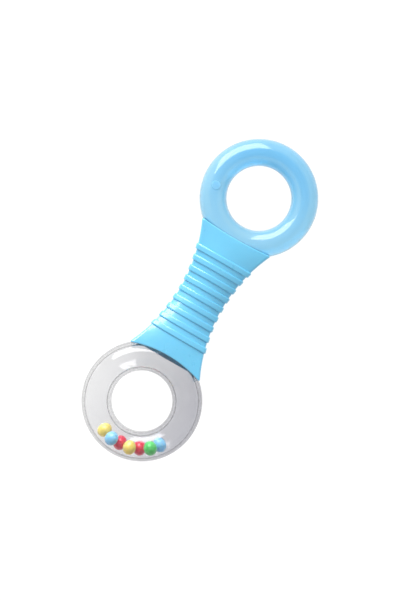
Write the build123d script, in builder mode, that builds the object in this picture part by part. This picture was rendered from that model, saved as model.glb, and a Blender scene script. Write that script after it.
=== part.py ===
from build123d import *

import math
import os

# Hand rattle for a baby, about 160 mm long, lying on its back.
#
# Two rings stand one at each end of a ribbed grip. One ring is a clear hollow
# tube in which seven small balls roll. The other is a soft teether ring, a
# welded skin filled with water. The grip is two half shells. They close on a
# flat tongue that each ring carries, and four moulded pegs hold them together.
#
# Frame, in millimetres: +Y runs along the grip towards the teether ring, +Z is
# up through the thickness, and the origin is below the middle of the overall
# length, on the surface that the rattle lies on.

# ---- Driving dimensions -------------------------------------------------------
OVERALL_LENGTH = 160.0

RATTLE_OUTER_R = 27.35
RATTLE_INNER_R = 13.7
RATTLE_DEPTH = 15.2
CHANNEL_WIDTH = 9.5          # the space in which the balls run, across the tube
CHANNEL_DEPTH = 12.2         # and through its thickness
CHANNEL_FACE_R = 6.2         # its front and back are arched like the tube's, so it shows the balls round
CHANNEL_ROUND = 2.2

TEETHER_OUTER_R = 26.9
TEETHER_INNER_R = 14.6
TEETHER_DEPTH = 12.2
SKIN = 1.6                   # wall of the soft teether ring

GRIP_DEPTH = 16.8            # over the flat pads at both ends
WAIST_WIDTH = 21.2           # between ribs, at the narrowest place
WAIST_DEPTH = 12.2
GRIP_CENTRE_Y = 0.9
SIDE_BOW_R = 74.0            # radius of the sides, seen from above
FACE_REACH = 33.0            # from the waist to where the faces run level again
PAD_CUT = 0.1                # planed off the faces' ends, so that the rattle lies flat
WAIST_CROWN = 3.7            # how far the faces fall away to the sides, at the waist
END_CROWN = 0.15             # and at the ends, which are nearly flat
SIDE_ROUND = 1.3             # edges between the sides and the faces
CAVITY_ROUND = 0.5
GRIP_REACH = 36.0            # length each way from its centre before the lips are cut
SECTION_COUNT = 13           # cross-sections that shape the crown
GRIP_WALL = 1.8
END_WALL = 2.2               # behind each ring's rim

RIB_COUNT = 9
RIB_PITCH = 4.9
RIB_WIDTH = 2.8
RIB_HEIGHT = 0.7
RIB_ROUND = 0.65

# A lip is the edge of the grip that laps over a ring, an arc seen from above.
# The distances are from the ring's centre to the middle of the lip. The rattle
# ring's lip reaches further on the back, where its middle is straight.
RATTLE_LIP_REACH = 23.9
RATTLE_LIP_R = 52.0
RATTLE_BACK_LIP_REACH = 21.3
TEETHER_LIP_REACH = 21.5
TEETHER_LIP_R = 148.0
LIP_BLEND_R = 20.0           # where the straight runs into the arc
LIP_ROUND = 0.5

BALL_R = 3.0
BALL_TRACK_R = 21.5          # from the ring's centre to the balls' centres
BALL_STAGGER = 2.2           # balls lie by turns this far behind and in front
GATE_R = 0.45                # dimple left by the moulding gate
GATE_DEPTH = 0.15
# Colour and place of each ball, in degrees round the ring from -Y towards +X.
BALLS = [
    ("yellow_1", -22.1),
    ("blue_1", -9.2),
    ("red_1", 2.4),
    ("yellow_2", 15.1),
    ("red_2", 26.9),
    ("green_1", 40.2),
    ("blue_2", 51.7),
]

TONGUE_WIDTH = 13.0
TONGUE_LENGTH = 9.5          # beyond the ring's rim
TONGUE_THICKNESS = 4.4
TONGUE_ROUND = 2.5
PEG_SETBACK = 5.4            # from a ring's rim to the peg through its tongue
PEG_R = 2.0
BOSS_R = 3.6
SOCKET_DEPTH = 3.0
LEAD_IN = 0.4

FIT_GAP = 0.1                # between pieces that are seated on each other
SLIP_GAP = 0.05              # between a peg and its socket
SEAM_GAP = 0.12              # hairline between the rims of the two grip shells
SEAM_BEVEL = 0.2             # fine groove along a welded seam

PLUG_ANGLE = 194.0           # degrees round the teether ring from +X
PLUG_TRACK_R = 20.2
PLUG_HEAD_R = 2.0
PLUG_HEAD_THICKNESS = 0.7
PLUG_PROUD = 0.2
PLUG_STEM_R = 1.2
PLUG_STEM_LENGTH = 2.0

# ---- Places worked out from them ------------------------------------------------
MID_Z = GRIP_DEPTH / 2
TEETHER_Y = OVERALL_LENGTH / 2 - TEETHER_OUTER_R
RATTLE_Y = RATTLE_OUTER_R - OVERALL_LENGTH / 2
TEETHER_TUBE_R = (TEETHER_OUTER_R + TEETHER_INNER_R) / 2
RATTLE_TUBE_R = (RATTLE_OUTER_R + RATTLE_INNER_R) / 2
TEETHER_TUBE_W = TEETHER_OUTER_R - TEETHER_INNER_R
RATTLE_TUBE_W = RATTLE_OUTER_R - RATTLE_INNER_R
TEETHER_RIM_Y = TEETHER_Y - TEETHER_OUTER_R
RATTLE_RIM_Y = RATTLE_Y + RATTLE_OUTER_R
TEETHER_PEG_Y = TEETHER_RIM_Y - PEG_SETBACK
RATTLE_PEG_Y = RATTLE_RIM_Y + PEG_SETBACK
PEG_PITCH = (TEETHER_PEG_Y - RATTLE_PEG_Y) / 3
TONGUE_PEG_YS = [RATTLE_PEG_Y, TEETHER_PEG_Y]
FREE_PEG_YS = [RATTLE_PEG_Y + PEG_PITCH, TEETHER_PEG_Y - PEG_PITCH]
TEETHER_LIP_Y = TEETHER_Y - TEETHER_LIP_REACH
RATTLE_LIP_Y = RATTLE_Y + RATTLE_LIP_REACH
RATTLE_BACK_LIP_Y = RATTLE_Y + RATTLE_BACK_LIP_REACH

MID_PLANE = Plane.XY.offset(MID_Z)
PEG_TIP_Z = MID_Z - TONGUE_THICKNESS / 2 - SOCKET_DEPTH + LEAD_IN


# ---- Shapes that more than one piece needs ----------------------------------------
def bow(distance, radius):
    """How far an arc of this radius has left its tangent at this distance."""
    return radius - math.sqrt(radius**2 - distance**2)


def rise(away):
    """How far a face stands out past its waist; it runs level at the waist and at the ends."""
    highest = (GRIP_DEPTH - WAIST_DEPTH) / 2 + PAD_CUT
    return highest * (1 - math.cos(math.pi * away / FACE_REACH)) / 2


def plane_across(y):
    """Upright plane at y, with local x along X and local y along Z."""
    return Plane((0, y, MID_Z), x_dir=(1, 0, 0), z_dir=(0, -1, 0))


def upright_axis(y):
    """Axis of the ring whose centre is at y."""
    return Axis((0, y, 0), (0, 0, 1))


def crowned_body(grow):
    """The bowed and crowned faces of the grip, wider and longer than needed."""
    with BuildPart() as body:
        for i in range(SECTION_COUNT):
            away = GRIP_REACH * (2 * i / (SECTION_COUNT - 1) - 1)
            half_width = WAIST_WIDTH / 2 + bow(away, SIDE_BOW_R) + grow + 1
            top = WAIST_DEPTH / 2 + rise(away) + grow
            edge = top - END_CROWN - (WAIST_CROWN - END_CROWN) * (1 - (away / GRIP_REACH) ** 2)
            with BuildSketch(plane_across(GRIP_CENTRE_Y + away)):
                with BuildLine():
                    front = ThreePointArc((-half_width, edge), (0, top), (half_width, edge))
                    back = ThreePointArc((half_width, -edge), (0, -top), (-half_width, -edge))
                    Line(front @ 1, back @ 0)
                    Line(back @ 1, front @ 0)
                make_face()
        loft()
    return body.part


def grip_length(from_away, to_away, grow, edge_round):
    """The bowed grip between two distances along Y from its centre, grown on all sides."""
    side_x = WAIST_WIDTH / 2 + grow + SIDE_BOW_R
    length = to_away - from_away
    with BuildPart() as block:
        with BuildSketch(Plane.XY.offset(-GRIP_DEPTH)):
            with Locations((0, GRIP_CENTRE_Y + from_away + length / 2)):
                Rectangle(2 * RATTLE_OUTER_R, length)
            with Locations((-side_x, GRIP_CENTRE_Y), (side_x, GRIP_CENTRE_Y)):
                Circle(SIDE_BOW_R, mode=Mode.SUBTRACT)
        extrude(amount=3 * GRIP_DEPTH)
        add(crowned_body(grow), mode=Mode.INTERSECT)
        long_edges = block.edges().filter_by(lambda edge: abs(edge.tangent_at(0.5).Y) > 0.5)
        fillet(long_edges, edge_round)
    return block.part


def grip_rib(y):
    """One raised ring round the grip at y, with its crest rounded."""
    away = y - GRIP_CENTRE_Y
    half = RIB_WIDTH / 2
    with BuildPart() as rib:
        add(grip_length(away - half, away + half, RIB_HEIGHT, SIDE_ROUND + RIB_HEIGHT))
        flanks = rib.faces().filter_by(Axis.Y)
        fillet(flanks.edges(), RIB_ROUND)
    return rib.part


def oval(track_r, width, depth):
    """Elliptical section of a ring's tube, drawn as two half arcs."""
    with BuildSketch() as section:
        with BuildLine():
            EllipticalCenterArc((track_r, 0), width / 2, depth / 2, 0, arc_size=180)
            EllipticalCenterArc((track_r, 0), width / 2, depth / 2, 180, arc_size=180)
        make_face()
    return section.sketch


def arched(track_r, width, depth, face_r, corner_r):
    """Section with straight sides, an arched front and back, and round corners."""
    half_width = width / 2
    edge_z = depth / 2 - bow(half_width, face_r)
    with BuildSketch() as section:
        with BuildLine():
            front = ThreePointArc((-half_width, edge_z), (0, depth / 2), (half_width, edge_z))
            back = ThreePointArc((half_width, -edge_z), (0, -depth / 2), (-half_width, -edge_z))
            Line(front @ 1, back @ 0)
            Line(back @ 1, front @ 0)
        make_face()
        fillet(section.vertices(), corner_r)
    return section.sketch.moved(Location((track_r, 0)))


def tube(ring_y, section):
    """A closed ring of this section."""
    with BuildPart() as ring:
        with BuildSketch(plane_across(ring_y)):
            add(section)
        revolve(axis=upright_axis(ring_y))
    return ring.part


def past_lip(middle_y, toward, lip_r, straight_y=None):
    """All that lies past a lip; toward is +1 or -1, the way along Y to the ring."""
    with BuildPart() as cutter:
        with BuildSketch(Plane.XY) as beyond:
            with Locations((0, middle_y + toward * lip_r)):
                Circle(lip_r)
            if straight_y is not None:
                with Locations((0, straight_y + toward * lip_r)):
                    Rectangle(2 * lip_r, 2 * lip_r, mode=Mode.INTERSECT)
                fillet(beyond.vertices().group_by(Axis.Y)[-1], LIP_BLEND_R)
        extrude(amount=GRIP_DEPTH)
    return cutter.part


def tongue(rim_y, toward, peg_y, gap=0.0):
    """Flat tongue on a ring, with its peg hole; a gap grows it into its slot."""
    root_y = rim_y + toward * 1.2
    tip_y = rim_y - toward * (TONGUE_LENGTH + gap)
    root_length = 2 * TONGUE_ROUND
    with BuildPart() as plate:
        with BuildSketch(MID_PLANE):
            with Locations((0, (root_y + tip_y) / 2)):
                RectangleRounded(TONGUE_WIDTH + 2 * gap, abs(tip_y - root_y), TONGUE_ROUND)
            with Locations((0, root_y - toward * root_length / 2)):
                Rectangle(TONGUE_WIDTH + 2 * gap, root_length)
            if gap == 0:
                with Locations((0, peg_y)):
                    Circle(PEG_R + FIT_GAP, mode=Mode.SUBTRACT)
        extrude(amount=TONGUE_THICKNESS / 2 + gap, both=True)
    return plate.part


# ---- Clear rattle ring: two halves welded on the middle plane ----------------------
rattle_oval = oval(RATTLE_TUBE_R, RATTLE_TUBE_W, RATTLE_DEPTH)
channel = arched(RATTLE_TUBE_R, CHANNEL_WIDTH, CHANNEL_DEPTH, CHANNEL_FACE_R, CHANNEL_ROUND)
rattle_tongue = tongue(RATTLE_RIM_Y, -1, RATTLE_PEG_Y)


def rattle_ring_half(keep):
    with BuildPart() as half:
        with BuildSketch(plane_across(RATTLE_Y)):
            add(rattle_oval)
            add(channel, mode=Mode.SUBTRACT)
            with Locations((RATTLE_INNER_R, 0), (RATTLE_OUTER_R, 0)):
                Rectangle(SEAM_BEVEL, SEAM_BEVEL, rotation=45, mode=Mode.SUBTRACT)
        revolve(axis=upright_axis(RATTLE_Y))
        add(rattle_tongue)
        split(bisect_by=MID_PLANE, keep=keep)
    return half


rattle_ring_front = rattle_ring_half(Keep.TOP)
rattle_ring_back = rattle_ring_half(Keep.BOTTOM)


# ---- Balls: they roll in the channel of the clear ring -------------------------------
def ball(index, place):
    turn = math.radians(place)
    x = BALL_TRACK_R * math.sin(turn)
    y = RATTLE_Y - BALL_TRACK_R * math.cos(turn)
    z = MID_Z + BALL_STAGGER * (1 if index % 2 else -1)
    gate_side = Plane((x, y, z), z_dir=(math.cos(5 * turn), math.sin(5 * turn), 0.4))
    with BuildPart(gate_side) as sphere:
        Sphere(BALL_R)
        with BuildSketch(gate_side.offset(BALL_R)):
            Circle(GATE_R)
        extrude(amount=-GATE_DEPTH, mode=Mode.SUBTRACT)
    return sphere


balls = {}
for index, (colour, place) in enumerate(BALLS):
    balls["ball_" + colour] = ball(index, place)


# ---- Soft teether ring: a welded skin, the water in it and the plug that seals it ----
plug_x = PLUG_TRACK_R * math.cos(math.radians(PLUG_ANGLE))
plug_y = TEETHER_Y + PLUG_TRACK_R * math.sin(math.radians(PLUG_ANGLE))
plug_top_z = MID_Z + TEETHER_DEPTH / 2 + PLUG_PROUD
plug_seat_z = plug_top_z - PLUG_HEAD_THICKNESS
teether_oval = oval(TEETHER_TUBE_R, TEETHER_TUBE_W, TEETHER_DEPTH)
bore_oval = oval(TEETHER_TUBE_R, TEETHER_TUBE_W - 2 * SKIN, TEETHER_DEPTH - 2 * SKIN)
water_w = TEETHER_TUBE_W - 2 * SKIN - 2 * SLIP_GAP
water_d = TEETHER_DEPTH - 2 * SKIN - 2 * SLIP_GAP
teether_tongue = tongue(TEETHER_RIM_Y, 1, TEETHER_PEG_Y)


def teether_skin_half(keep):
    with BuildPart() as half:
        with BuildSketch(plane_across(TEETHER_Y)):
            add(teether_oval)
            add(bore_oval, mode=Mode.SUBTRACT)
            with Locations((TEETHER_INNER_R, 0), (TEETHER_OUTER_R, 0)):
                Rectangle(SEAM_BEVEL, SEAM_BEVEL, rotation=45, mode=Mode.SUBTRACT)
        revolve(axis=upright_axis(TEETHER_Y))
        add(teether_tongue)
        with BuildSketch(Plane.XY.offset(plug_seat_z)):
            with Locations((plug_x, plug_y)):
                Circle(PLUG_HEAD_R + SLIP_GAP)
        extrude(amount=GRIP_DEPTH, mode=Mode.SUBTRACT)
        with BuildSketch(MID_PLANE):
            with Locations((plug_x, plug_y)):
                Circle(PLUG_STEM_R + SLIP_GAP)
        extrude(amount=GRIP_DEPTH, mode=Mode.SUBTRACT)
        split(bisect_by=MID_PLANE, keep=keep)
    return half


teether_skin_front = teether_skin_half(Keep.TOP)
teether_skin_back = teether_skin_half(Keep.BOTTOM)

with BuildPart() as teether_water:
    add(tube(TEETHER_Y, oval(TEETHER_TUBE_R, water_w, water_d)))
    with BuildSketch(Plane.XY.offset(plug_seat_z)):
        with Locations((plug_x, plug_y)):
            Circle(PLUG_STEM_R + SLIP_GAP)
    extrude(amount=-PLUG_STEM_LENGTH - SLIP_GAP, mode=Mode.SUBTRACT)

with BuildPart() as teether_plug:
    with BuildSketch(Plane.XY.offset(plug_seat_z)):
        with Locations((plug_x, plug_y)):
            Circle(PLUG_HEAD_R)
    extrude(amount=PLUG_HEAD_THICKNESS)
    fillet(teether_plug.edges().group_by(Axis.Z)[-1], PLUG_PROUD)
    with BuildSketch(Plane.XY.offset(plug_seat_z)):
        with Locations((plug_x, plug_y)):
            Circle(PLUG_STEM_R)
    extrude(amount=-PLUG_STEM_LENGTH)
    fillet(teether_plug.edges().group_by(Axis.Z)[0], PLUG_PROUD)


# ---- Grip: two half shells with nine ribs, closed on the tongues of the rings ---------
teether_lip = past_lip(TEETHER_LIP_Y, 1, TEETHER_LIP_R)
rattle_lip_front = past_lip(RATTLE_LIP_Y, -1, RATTLE_LIP_R)
rattle_lip_back = past_lip(RATTLE_LIP_Y, -1, RATTLE_LIP_R, RATTLE_BACK_LIP_Y)
rattle_seat_oval = oval(RATTLE_TUBE_R, RATTLE_TUBE_W + 2 * FIT_GAP, RATTLE_DEPTH + 2 * FIT_GAP)
teether_seat_oval = oval(TEETHER_TUBE_R, TEETHER_TUBE_W + 2 * FIT_GAP, TEETHER_DEPTH + 2 * FIT_GAP)
rattle_seat = tube(RATTLE_Y, rattle_seat_oval)
teether_seat = tube(TEETHER_Y, teether_seat_oval)
rattle_slot = tongue(RATTLE_RIM_Y, -1, RATTLE_PEG_Y, FIT_GAP)
teether_slot = tongue(TEETHER_RIM_Y, 1, TEETHER_PEG_Y, FIT_GAP)

with BuildPart() as grip_blank:
    add(grip_length(-GRIP_REACH, GRIP_REACH, 0, SIDE_ROUND))
    for i in range(RIB_COUNT):
        add(grip_rib(GRIP_CENTRE_Y + RIB_PITCH * (i - (RIB_COUNT - 1) / 2)))
    with BuildSketch(Plane.XY):
        Rectangle(OVERALL_LENGTH, OVERALL_LENGTH)
    extrude(amount=GRIP_DEPTH, mode=Mode.INTERSECT)

with BuildPart() as grip_cavity:
    cavity_start = RATTLE_RIM_Y + END_WALL - GRIP_CENTRE_Y
    cavity_end = TEETHER_RIM_Y - END_WALL - GRIP_CENTRE_Y
    add(grip_length(cavity_start, cavity_end, -GRIP_WALL, CAVITY_ROUND))
    with BuildSketch(Plane.XY.offset(GRIP_WALL)):
        Rectangle(OVERALL_LENGTH, OVERALL_LENGTH)
    extrude(amount=GRIP_DEPTH - 2 * GRIP_WALL, mode=Mode.INTERSECT)


def post(y, radius, low_z, high_z):
    """Round post along Z in the middle of the grip, its lower end bevelled."""
    with BuildPart() as upright:
        with BuildSketch(Plane.XY.offset(low_z)):
            with Locations((0, y)):
                Circle(radius)
        extrude(amount=high_z - low_z)
        chamfer(upright.edges().group_by(Axis.Z)[0], LEAD_IN)
    return upright.part


def boss(y, side, end_z):
    """Round boss from the middle of a shell's wall to end_z."""
    with BuildPart() as column:
        with BuildSketch(Plane.XY.offset(end_z)):
            with Locations((0, y)):
                Circle(BOSS_R)
        extrude(amount=side * (WAIST_DEPTH / 2 - GRIP_WALL / 2) + MID_Z - end_z)
    return column.part


def grip_shell(keep, side, rattle_lip):
    """One half of the grip, with its bosses; side is 1 for the front, -1 for the back."""
    tongue_face_z = MID_Z + side * (TONGUE_THICKNESS / 2 + SLIP_GAP)
    with BuildPart() as shell:
        add(grip_blank.part)
        add(teether_lip, mode=Mode.SUBTRACT)
        add(rattle_lip, mode=Mode.SUBTRACT)
        split(bisect_by=Plane.XY.offset(MID_Z + side * SEAM_GAP / 2), keep=keep)
        end_faces = shell.faces().filter_by(lambda face: abs(face.center().Y) > -RATTLE_LIP_Y - 0.1)
        lips = end_faces.filter_by(lambda face: abs(face.normal_at().Y) > 0.9)
        rims = lips.edges().filter_by(GeomType.LINE, reverse=True)
        fillet(rims.filter_by(lambda edge: abs(edge.center().Z - MID_Z) > SEAM_GAP), LIP_ROUND)
        add(grip_cavity.part, mode=Mode.SUBTRACT)
        for cut in (rattle_seat, teether_seat, rattle_slot, teether_slot):
            add(cut, mode=Mode.SUBTRACT)
        for y in TONGUE_PEG_YS:
            add(boss(y, side, tongue_face_z))
        for y in FREE_PEG_YS:
            add(boss(y, side, MID_Z))
        for y in TONGUE_PEG_YS + FREE_PEG_YS:
            if side > 0:
                add(post(y, PEG_R, PEG_TIP_Z, MID_Z + TONGUE_THICKNESS))
            else:
                add(post(y, PEG_R + SLIP_GAP, PEG_TIP_Z - LEAD_IN, MID_Z), mode=Mode.SUBTRACT)
    return shell


grip_front = grip_shell(Keep.TOP, 1, rattle_lip_front)
grip_back = grip_shell(Keep.BOTTOM, -1, rattle_lip_back)


# ---- Write one file for each piece ------------------------------------------------------
pieces = {
    "rattle_ring_front": rattle_ring_front,
    "rattle_ring_back": rattle_ring_back,
    "teether_skin_front": teether_skin_front,
    "teether_skin_back": teether_skin_back,
    "teether_water": teether_water,
    "teether_plug": teether_plug,
    "grip_front": grip_front,
    "grip_back": grip_back,
}
pieces.update(balls)

os.makedirs("parts", exist_ok=True)
for name, piece in pieces.items():
    piece.part.label = name
    export_step(piece.part, f"parts/{name}.step")
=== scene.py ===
import math

import bmesh
import bpy
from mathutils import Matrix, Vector


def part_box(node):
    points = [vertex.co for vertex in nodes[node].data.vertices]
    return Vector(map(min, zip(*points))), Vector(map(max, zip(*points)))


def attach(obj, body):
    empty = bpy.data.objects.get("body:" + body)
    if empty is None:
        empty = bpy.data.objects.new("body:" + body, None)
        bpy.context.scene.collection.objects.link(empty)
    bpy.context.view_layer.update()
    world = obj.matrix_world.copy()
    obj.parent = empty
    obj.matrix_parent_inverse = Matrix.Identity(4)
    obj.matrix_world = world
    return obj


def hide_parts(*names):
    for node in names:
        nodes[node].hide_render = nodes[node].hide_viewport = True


# A baby's hand rattle lying on a white table, seen from straight above: a clear ring with
# rolling balls, a ribbed grip and a soft teether ring filled with water.

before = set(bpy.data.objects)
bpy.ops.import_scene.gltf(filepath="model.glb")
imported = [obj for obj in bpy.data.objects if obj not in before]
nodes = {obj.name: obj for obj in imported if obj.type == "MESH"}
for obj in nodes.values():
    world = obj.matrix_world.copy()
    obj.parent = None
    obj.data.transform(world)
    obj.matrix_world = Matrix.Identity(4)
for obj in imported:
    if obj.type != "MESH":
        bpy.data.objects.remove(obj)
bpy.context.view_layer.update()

MM = 0.001

# ---- Driving sizes --------------------------------------------------------------------------
RATTLE_TUBE = 6.825 * MM           # half the width of the clear ring's tube
CHANNEL_HALF_WIDTH = 4.75 * MM     # the space in which the balls run
CHANNEL_HALF_DEPTH = 6.1 * MM
CHANNEL_FACE_R = 6.2 * MM          # its top and bottom are arched
CHANNEL_ROUND = 2.2 * MM
TEETHER_TUBE = 6.15 * MM           # half the width of the teether's tube
SKIN = 1.6 * MM
WATER_GAP = 0.05 * MM              # keeps the water's surface clear of the skin
WELD_GROOVE = 0.05 * MM

TONGUE_HALF_WIDTH = 6.5 * MM
TONGUE_HALF_DEPTH = 2.2 * MM
TONGUE_ROUND = 2.5 * MM
TONGUE_ROOT = 1.2 * MM             # how far it starts inside the ring's rim
PEG_SETBACK = 5.4 * MM
PEG_HOLE = 2.1 * MM

RING_STEPS = 256                   # round a ring
TUBE_POINTS = 96                   # round the outside of a tube
BORE_POINTS = 80                   # round the inside of the teether's tube
CHANNEL_POINTS = 16                # for each arc of the channel's corner
CORNER_STEPS = 8                   # for each corner of a tongue

# The inner band is painted light on the teether; outside the outer band's radii the skin is paler,
# where there is less water under it.
INNER_LIGHT_BAND = (16.5 * MM, 17.6 * MM, 18.1 * MM, 19.2 * MM)    # radii where it rises and falls
OUTER_BAND = (21.6 * MM, 23.4 * MM)
INNER_LIGHT_LIFT = 0.25
OUTER_LIFT = 0.22

NOISE_RANGE = (0.3, 0.7)           # noise seldom leaves it
# The drift across a ring paints shade on one side of it.
SHADE_DRIFT_RANGE = (0.25, 0.75)         # part of a ramp that a drift across a ring takes
SHADE_DRIFT_SHARE = 0.85                 # and its share beside the noise
RIM_RANGE = (0.3, 0.8)             # how far a wall has turned away where it starts and ends to darken

TABLE_HALF = 3.0
TABLE_DROP = 0.0002                # keeps the table's surface clear of the rattle's
LENS = 100.0
SENSOR = 36.0
FRAME_HEIGHT = 0.2717              # what the picture takes in at the rattle's middle plane
VIEW_TURN = 30                     # degrees that the rattle leans in the picture
VIEW_CENTRE = (0.00024, -0.0001)   # the camera stands over this point


# ---- Places that come from the frame --------------------------------------------------------
def ring_of(*names):
    """Centre, outer radius and half depth of a ring, from the boxes of its CAD halves."""
    lows = [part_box(name)[0] for name in names]
    highs = [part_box(name)[1] for name in names]
    low = Vector(min(corner[axis] for corner in lows) for axis in range(3))
    high = Vector(max(corner[axis] for corner in highs) for axis in range(3))
    radius = (high.x - low.x) / 2
    middle_z = (low.z + high.z) / 2
    end_y = low.y + radius if abs(low.y) > abs(high.y) else high.y - radius
    return Vector(((low.x + high.x) / 2, end_y, middle_z)), radius, (high.z - low.z) / 2


rattle_centre, rattle_r, rattle_half_depth = ring_of("rattle_ring_front", "rattle_ring_back")
teether_centre, teether_r, teether_half_depth = ring_of("teether_skin_front", "teether_skin_back")


# ---- Node helpers ---------------------------------------------------------------------------
def new_material(name):
    material = bpy.data.materials.new(name)
    material.use_nodes = True
    tree = material.node_tree
    return material, tree, tree.nodes["Principled BSDF"]


def set_sockets(shader, values):
    for socket, value in values.items():
        shader.inputs[socket].default_value = value


def add_noise(tree, size, detail=3.0):
    """Noise whose features are about this size, in metres, in the object's own space."""
    coords = tree.nodes.new("ShaderNodeTexCoord")
    noise = tree.nodes.new("ShaderNodeTexNoise")
    noise.inputs["Scale"].default_value = 1 / size
    noise.inputs["Detail"].default_value = detail
    noise.inputs["Roughness"].default_value = 0.55
    tree.links.new(coords.outputs["Object"], noise.inputs["Vector"])
    return noise.outputs["Fac"]


def map_range(tree, value, start, end, low, high, smooth=False):
    """Takes a value between start and end to one between low and high."""
    spread = tree.nodes.new("ShaderNodeMapRange")
    if smooth:
        spread.interpolation_type = "SMOOTHSTEP"
    spread.inputs["From Min"].default_value = start
    spread.inputs["From Max"].default_value = end
    spread.inputs["To Min"].default_value = low
    spread.inputs["To Max"].default_value = high
    tree.links.new(value, spread.inputs["Value"])
    return spread.outputs["Result"]


def vary_colour(tree, shader, low, high, size):
    """Base colour that drifts between two colours."""
    ramp = tree.nodes.new("ShaderNodeValToRGB")
    first, second = ramp.color_ramp.elements
    first.position, second.position = NOISE_RANGE
    first.color = (*low, 1)
    second.color = (*high, 1)
    tree.links.new(add_noise(tree, size), ramp.inputs["Fac"])
    tree.links.new(ramp.outputs["Color"], shader.inputs["Base Color"])
    return ramp


def vary_roughness(tree, shader, low, high, size):
    """Roughness that drifts between two values, as handling marks do."""
    noise = add_noise(tree, size, detail=4)
    roughness = map_range(tree, noise, *NOISE_RANGE, low, high)
    tree.links.new(roughness, shader.inputs["Roughness"])


def add_bump(tree, shader, size, height):
    """Fine moulded texture of this grain size and height, in metres."""
    bump = tree.nodes.new("ShaderNodeBump")
    bump.inputs["Strength"].default_value = 1.0
    bump.inputs["Distance"].default_value = height
    tree.links.new(add_noise(tree, size, detail=2.0), bump.inputs["Height"])
    tree.links.new(bump.outputs["Normal"], shader.inputs["Normal"])


def paint_crevice_shade(tree, shader, ramp, deep, reach, low, high):
    """Painted shade: colour goes over to a darker one, deep, where other surfaces stand close by and
    keep light out.
    """
    hidden = tree.nodes.new("ShaderNodeAmbientOcclusion")
    hidden.samples = 8
    hidden.inputs["Distance"].default_value = reach
    blend = tree.nodes.new("ShaderNodeMix")
    blend.data_type = "RGBA"
    blend.inputs["A"].default_value = (*deep, 1)
    openness = map_range(tree, hidden.outputs["AO"], low, high, 0, 1, smooth=True)
    tree.links.new(openness, blend.inputs["Factor"])
    tree.links.new(ramp.outputs["Color"], blend.inputs["B"])
    tree.links.new(blend.outputs["Result"], shader.inputs["Base Color"])


def darken_rims(tree, shader, ramp, depth):
    """A longer way through the wall, where it turns away, takes more light out."""
    weight = tree.nodes.new("ShaderNodeLayerWeight")
    weight.inputs["Blend"].default_value = 0.5
    dim = tree.nodes.new("ShaderNodeMix")
    dim.data_type = "RGBA"
    dim.blend_type = "MULTIPLY"
    dim.inputs["Factor"].default_value = 1.0
    tree.links.new(ramp.outputs["Color"], dim.inputs["A"])
    shade = map_range(tree, weight.outputs["Facing"], *RIM_RANGE, 1.0, depth, smooth=True)
    tree.links.new(shade, dim.inputs["B"])
    tree.links.new(dim.outputs["Result"], shader.inputs["Base Color"])


def vector_math(tree, operation, first, second=None):
    node = tree.nodes.new("ShaderNodeVectorMath")
    node.operation = operation
    tree.links.new(first, node.inputs[0])
    if second is not None:
        node.inputs[1].default_value = second
    return node


def offset_from(tree, centre):
    """Way from a centre to the shaded point, in the object's own space."""
    coords = tree.nodes.new("ShaderNodeTexCoord")
    return vector_math(tree, "SUBTRACT", coords.outputs["Object"], centre).outputs["Vector"]


def level_way(degrees):
    """Level direction, counted from +X towards +Y."""
    return (math.cos(math.radians(degrees)), math.sin(math.radians(degrees)), 0)


def paint_shade_across(tree, ramp, centre, way, reach):
    """Painted shade: colour also drifts slowly across a ring, towards the ramp's first colour along
    way, so that side looks shaded.
    """
    across = vector_math(tree, "DOT_PRODUCT", offset_from(tree, centre), way)
    slope = map_range(tree, across.outputs["Value"], reach, -reach, *SHADE_DRIFT_RANGE)
    blend = tree.nodes.new("ShaderNodeMix")
    blend.inputs["Factor"].default_value = SHADE_DRIFT_SHARE
    tree.links.new(ramp.inputs["Fac"].links[0].from_socket, blend.inputs["A"])
    tree.links.new(slope, blend.inputs["B"])
    tree.links.new(blend.outputs["Result"], ramp.inputs["Fac"])


def lift_outside(tree, ramp, centre, start, end, lift):
    """From one radius to another, colour moves along the ramp by lift, and stays there."""
    level = vector_math(tree, "MULTIPLY", offset_from(tree, centre), (1, 1, 0))
    radius = vector_math(tree, "LENGTH", level.outputs["Vector"])
    total = tree.nodes.new("ShaderNodeMath")
    total.operation = "ADD"
    tree.links.new(ramp.inputs["Fac"].links[0].from_socket, total.inputs[0])
    step = map_range(tree, radius.outputs["Value"], start, end, 0, lift, smooth=True)
    tree.links.new(step, total.inputs[1])
    tree.links.new(total.outputs["Value"], ramp.inputs["Fac"])


def scaled(colour, factor):
    return tuple(min(1.0, channel * factor) for channel in colour)


# ---- Materials ------------------------------------------------------------------------------
def grip_plastic():
    material, tree, shader = new_material("grip_plastic")
    colour = (0.145, 0.57, 0.85)
    ramp = vary_colour(tree, shader, scaled(colour, 0.97), scaled(colour, 1.03), 14 * MM)
    # Painted shade: deep blue in the rib valleys and on the seat behind the ring, where other
    # surfaces stand close.
    paint_crevice_shade(tree, shader, ramp, deep=(0.0, 0.12, 0.24), reach=1.4 * MM, low=0.1, high=0.7)
    vary_roughness(tree, shader, 0.27, 0.33, 6 * MM)
    add_bump(tree, shader, 0.35 * MM, 0.001 * MM)
    set_sockets(shader, {
        "IOR": 1.49,
        "Specular IOR Level": 0.8,
        "Coat Weight": 1.0,
        "Coat Roughness": 0.08,
        "Subsurface Weight": 0.15,
        "Subsurface Radius": (0.3, 0.8, 1.0),
        "Subsurface Scale": 1.2 * MM,
    })
    return material


def clear_plastic(name, low, high, rim_depth):
    """Clear moulding with painted shade: a little greyer towards the ring's +X side."""
    material, tree, shader = new_material(name)
    ramp = vary_colour(tree, shader, low, high, 20 * MM)
    # Painted shade: greyer towards the ring's +X side.
    paint_shade_across(tree, ramp, rattle_centre, level_way(8), rattle_r)
    darken_rims(tree, shader, ramp, rim_depth)
    vary_roughness(tree, shader, 0.0, 0.02, 8 * MM)
    set_sockets(shader, {"IOR": 1.5, "Transmission Weight": 1.0})
    return material


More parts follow.
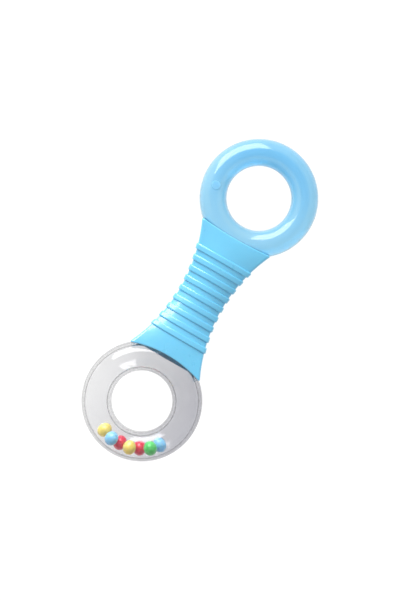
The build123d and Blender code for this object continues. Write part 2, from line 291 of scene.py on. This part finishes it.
def teether_skin():
    """Soft translucent skin, paler outside a radius where there is less water under it, with a narrow
    painted band of light further in, painted shade towards its +Y side and in its crevices.
    """
    material, tree, shader = new_material("teether_skin")
    ramp = vary_colour(tree, shader, (0.25, 0.66, 0.97), (0.50, 0.83, 1.0), 16 * MM)
    # Painted shade: darker towards the ring's +Y side.
    paint_shade_across(tree, ramp, teether_centre, level_way(100), teether_r)
    rise_start, rise_end, fall_start, fall_end = INNER_LIGHT_BAND
    # Painted light: a narrow pale band, standing in for light the bore sends back.
    lift_outside(tree, ramp, teether_centre, rise_start, rise_end, INNER_LIGHT_LIFT)
    lift_outside(tree, ramp, teether_centre, fall_start, fall_end, -INNER_LIGHT_LIFT)
    lift_outside(tree, ramp, teether_centre, *OUTER_BAND, OUTER_LIFT)
    # Painted shade: deeper blue on the skin where the grip's lips stand close.
    paint_crevice_shade(tree, shader, ramp, deep=(0.05, 0.28, 0.50), reach=1.6 * MM, low=0.2, high=0.75)
    vary_roughness(tree, shader, 0.08, 0.13, 7 * MM)
    add_bump(tree, shader, 1.5 * MM, 0.004 * MM)
    set_sockets(shader, {
        "IOR": 1.45,
        "Transmission Weight": 0.75,
        "Coat Weight": 0.35,
        "Coat Roughness": 0.16,
    })
    return material


def teether_skin_inside():
    material, tree, shader = new_material("teether_skin_inside")
    vary_colour(tree, shader, (0.92, 0.97, 0.99), (0.95, 0.99, 1.0), 9 * MM)
    vary_roughness(tree, shader, 0.05, 0.12, 5 * MM)
    set_sockets(shader, {"IOR": 1.14, "Transmission Weight": 1.0})
    return material


def teether_water():
    material, tree, shader = new_material("teether_water")
    vary_colour(tree, shader, (0.60, 0.83, 0.96), (0.64, 0.86, 0.98), 12 * MM)
    vary_roughness(tree, shader, 0.0, 0.05, 7 * MM)
    set_sockets(shader, {"IOR": 1.01, "Transmission Weight": 1.0})
    return material


def teether_plug():
    material, tree, shader = new_material("teether_plug")
    vary_colour(tree, shader, (0.20, 0.50, 0.76), (0.23, 0.53, 0.78), 1.5 * MM)
    vary_roughness(tree, shader, 0.2, 0.3, 1 * MM)
    set_sockets(shader, {
        "IOR": 1.45,
        "Subsurface Weight": 0.5,
        "Subsurface Radius": (0.6, 0.9, 1.0),
        "Subsurface Scale": 2 * MM,
    })
    return material


def ball_plastic(name, colour):
    material, tree, shader = new_material("ball_" + name)
    vary_colour(tree, shader, scaled(colour, 0.93), scaled(colour, 1.05), 2.5 * MM)
    vary_roughness(tree, shader, 0.16, 0.26, 1.5 * MM)
    add_bump(tree, shader, 0.4 * MM, 0.006 * MM)
    set_sockets(shader, {
        "IOR": 1.5,
        "Coat Weight": 0.8,
        "Coat Roughness": 0.08,
        "Subsurface Weight": 1.0,
        "Subsurface Radius": (1, 1, 1),
        "Subsurface Scale": 5 * MM,
    })
    return material


def table_top():
    """Light table: its white glow also shines through the clear ring from below."""
    material, tree, shader = new_material("table_top")
    vary_colour(tree, shader, (0.09, 0.09, 0.09), (0.11, 0.11, 0.11), 50 * MM)
    vary_roughness(tree, shader, 0.55, 0.65, 30 * MM)
    set_sockets(shader, {
        "Specular IOR Level": 0.1,
        "Emission Color": (1, 1, 1, 1),
        "Emission Strength": 0.98,
    })
    return material


BALL_COLOURS = {
    "yellow": (0.78, 0.62, 0.16),
    "blue": (0.24, 0.54, 0.78),
    "red": (0.66, 0.04, 0.09),
    "green": (0.10, 0.58, 0.15),
}


def dress(name, material):
    for slot in nodes[name].material_slots:
        slot.material = material


grip_material = grip_plastic()
skin_material = teether_skin()
dress("grip_front", grip_material)
dress("grip_back", grip_material)
dress("teether_plug", teether_plug())
ball_materials = {name: ball_plastic(name, colour) for name, colour in BALL_COLOURS.items()}
for node in nodes:
    if node.startswith("ball_"):
        dress(node, ball_materials[node.split("_")[1]])


# ---- Rings: closed surfaces turned about an upright axis ------------------------------------
def new_piece(name, build, material, replaced):
    mesh = bpy.data.meshes.new(name)
    shape = bmesh.new()
    build(shape)
    shape.normal_update()
    shape.to_mesh(mesh)
    shape.free()
    mesh.materials.append(material)
    piece = bpy.data.objects.new(name, mesh)
    bpy.context.scene.collection.objects.link(piece)
    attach(piece, "root")
    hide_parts(*replaced)
    return piece


def oval_profile(track_r, half_width, half_depth, count, groove=0.0):
    """Points (radius, height) round an oval tube; a groove marks the weld at both rims."""
    points = []
    for i in range(count):
        turn = 2 * math.pi * i / count
        pinch = groove if i in (0, count // 2) else 0.0
        points.append((track_r + (half_width - pinch) * math.cos(turn), half_depth * math.sin(turn)))
    return points


def channel_profile(track_r, half_width, half_depth, face_r, round_r, count):
    """Points (radius, height) round a channel: arched faces, straight sides, round corners."""
    arch_z = half_depth - face_r
    corner_x = half_width - round_r
    corner_z = arch_z + math.sqrt((face_r - round_r) ** 2 - corner_x ** 2)
    meet = math.atan2(corner_z - arch_z, corner_x)
    quarter = []
    for i in range(count):
        turn = meet * i / count
        quarter.append((corner_x + round_r * math.cos(turn), corner_z + round_r * math.sin(turn)))
    for i in range(count + 1):
        turn = meet + (math.pi / 2 - meet) * i / count
        quarter.append((face_r * math.cos(turn), arch_z + face_r * math.sin(turn)))
    half = quarter + [(-x, z) for x, z in reversed(quarter[:-1])]
    whole = half + [(x, -z) for x, z in reversed(half)]
    return [(track_r + x, z) for x, z in whole]


def turn_profile(shape, profile, centre, inward=False, slot=0):
    """Sweeps a closed profile round the upright axis through centre."""
    rings = []
    for i in range(RING_STEPS):
        turn = 2 * math.pi * i / RING_STEPS
        ring = []
        for radius, height in profile:
            x = centre.x + radius * math.cos(turn)
            y = centre.y + radius * math.sin(turn)
            ring.append(shape.verts.new((x, y, centre.z + height)))
        rings.append(ring)
    for i in range(RING_STEPS):
        here = rings[i]
        there = rings[(i + 1) % RING_STEPS]
        for j in range(len(profile)):
            k = (j + 1) % len(profile)
            corners = [here[j], there[j], there[k], here[k]]
            if inward:
                corners.reverse()
            face = shape.faces.new(corners)
            face.material_index = slot
            face.smooth = True


def tongue_outline(root_y, tip_y):
    """Points round a tongue, from one side of its root to the other, with round tip corners."""
    inward = 1 if root_y > tip_y else -1
    turn_y = tip_y + inward * TONGUE_ROUND
    side = TONGUE_HALF_WIDTH - TONGUE_ROUND
    outline = [(TONGUE_HALF_WIDTH, root_y)]
    for middle_x, start in ((side, 0), (-side, 90)):
        for i in range(CORNER_STEPS + 1):
            turn = math.radians(start + 90 * i / CORNER_STEPS)
            x = middle_x + TONGUE_ROUND * math.cos(turn)
            outline.append((x, turn_y - inward * TONGUE_ROUND * math.sin(turn)))
    outline.append((-TONGUE_HALF_WIDTH, root_y))
    return outline


def add_tongue(shape, root_y, tip_y, peg_y, centre_z):
    """Flat tongue that holds a ring in the grip, with a peg hole through it."""
    outline = tongue_outline(root_y, tip_y)
    turns = [math.atan2(y - peg_y, x) for x, y in outline]
    hole_outline = [(PEG_HOLE * math.cos(turn), peg_y + PEG_HOLE * math.sin(turn)) for turn in turns]
    loops = []
    for height in (-TONGUE_HALF_DEPTH, TONGUE_HALF_DEPTH):
        z = centre_z + height
        edge = [shape.verts.new((x, y, z)) for x, y in outline]
        hole = [shape.verts.new((x, y, z)) for x, y in hole_outline]
        loops.append((edge, hole))
    (low_edge, low_hole), (high_edge, high_hole) = loops
    faces = []
    for i in range(len(outline)):
        j = (i + 1) % len(outline)
        faces.append(shape.faces.new((high_edge[i], high_edge[j], high_hole[j], high_hole[i])))
        faces.append(shape.faces.new((low_edge[j], low_edge[i], low_hole[i], low_hole[j])))
        faces.append(shape.faces.new((low_edge[i], low_edge[j], high_edge[j], high_edge[i])))
        faces.append(shape.faces.new((low_hole[j], low_hole[i], high_hole[i], high_hole[j])))
    bmesh.ops.recalc_face_normals(shape, faces=faces)
    for face in faces:
        face.smooth = False


def build_rattle_ring(shape):
    track_r = rattle_r - RATTLE_TUBE
    outer = oval_profile(track_r, RATTLE_TUBE, rattle_half_depth, TUBE_POINTS, WELD_GROOVE)
    turn_profile(shape, outer, rattle_centre)
    channel = channel_profile(track_r, CHANNEL_HALF_WIDTH, CHANNEL_HALF_DEPTH,
                              CHANNEL_FACE_R, CHANNEL_ROUND, CHANNEL_POINTS)
    turn_profile(shape, channel, rattle_centre, inward=True, slot=1)
    rim_y = rattle_centre.y + rattle_r
    tip_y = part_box("rattle_ring_front")[1][1]
    add_tongue(shape, rim_y - TONGUE_ROOT, tip_y, rim_y + PEG_SETBACK, rattle_centre.z)


def build_teether_skin(shape):
    track_r = teether_r - TEETHER_TUBE
    outer = oval_profile(track_r, TEETHER_TUBE, teether_half_depth, TUBE_POINTS, WELD_GROOVE)
    turn_profile(shape, outer, teether_centre)
    bore = oval_profile(track_r, TEETHER_TUBE - SKIN, teether_half_depth - SKIN, BORE_POINTS)
    turn_profile(shape, bore, teether_centre, inward=True, slot=1)
    rim_y = teether_centre.y - teether_r
    tip_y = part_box("teether_skin_front")[0][1]
    add_tongue(shape, rim_y + TONGUE_ROOT, tip_y, rim_y - PEG_SETBACK, teether_centre.z)


def build_teether_water(shape):
    track_r = teether_r - TEETHER_TUBE
    deep = SKIN + WATER_GAP
    surface = oval_profile(track_r, TEETHER_TUBE - deep, teether_half_depth - deep, BORE_POINTS)
    turn_profile(shape, surface, teether_centre)


# Its first colour is the grey that the painted shade drifts towards on the +X side.
clear_outside = clear_plastic("clear_plastic", (0.48, 0.48, 0.52), (0.86, 0.86, 0.86), 0.45)
clear_inside = clear_plastic("clear_plastic_inside", (0.97, 0.97, 0.975), (0.98, 0.98, 0.985), 0.9)
ring = new_piece("rattle_ring_clear", build_rattle_ring, clear_outside,
                 ["rattle_ring_front", "rattle_ring_back"])
skin = new_piece("teether_ring_skin", build_teether_skin, skin_material,
                 ["teether_skin_front", "teether_skin_back"])
new_piece("teether_ring_water", build_teether_water, teether_water(),
          ["teether_water"])
ring.data.materials.append(clear_inside)
skin.data.materials.append(teether_skin_inside())
ring.visible_shadow = False


# ---- Table, light and camera ----------------------------------------------------------------
def add_table():
    mesh = bpy.data.meshes.new("table")
    corners = [(x * TABLE_HALF, y * TABLE_HALF, 0) for x, y in ((-1, -1), (1, -1), (1, 1), (-1, 1))]
    mesh.from_pydata(corners, [], [(0, 1, 2, 3)])
    table = bpy.data.objects.new("table", mesh)
    table.location.z = -TABLE_DROP
    mesh.materials.append(table_top())
    bpy.context.scene.collection.objects.link(table)


def add_soft_box(name, azimuth, elevation, distance, size, power):
    """A soft box that faces the rattle; azimuth is counted from +X towards +Y, in degrees."""
    light = bpy.data.lights.new(name, "AREA")
    light.shape = "RECTANGLE"
    light.size, light.size_y = size
    light.energy = power
    lamp = bpy.data.objects.new(name, light)
    turn, rise = math.radians(azimuth), math.radians(elevation)
    way = Vector((math.cos(turn) * math.cos(rise), math.sin(turn) * math.cos(rise), math.sin(rise)))
    lamp.location = way * distance
    lamp.rotation_euler = way.to_track_quat("Z", "Y").to_euler()
    bpy.context.scene.collection.objects.link(lamp)


def add_world(strength):
    world = bpy.data.worlds.new("studio")
    world.use_nodes = True
    background = world.node_tree.nodes["Background"]
    background.inputs["Color"].default_value = (1, 1, 1, 1)
    background.inputs["Strength"].default_value = strength
    bpy.context.scene.world = world


def add_camera():
    """Looks straight down, from so far that the picture takes in FRAME_HEIGHT."""
    data = bpy.data.cameras.new("camera")
    data.lens = LENS
    data.sensor_width = SENSOR
    data.clip_start = 0.01
    camera = bpy.data.objects.new("camera", data)
    distance = FRAME_HEIGHT * LENS / SENSOR
    camera.location = (*VIEW_CENTRE, rattle_centre.z + distance)
    camera.rotation_euler = (0, 0, math.radians(VIEW_TURN))
    bpy.context.scene.collection.objects.link(camera)
    bpy.context.scene.camera = camera


add_table()
add_world(0.55)
add_soft_box("key", azimuth=135, elevation=34, distance=0.5, size=(0.42, 0.40), power=3.4)
add_camera()
bpy.context.scene.view_settings.view_transform = "Standard"
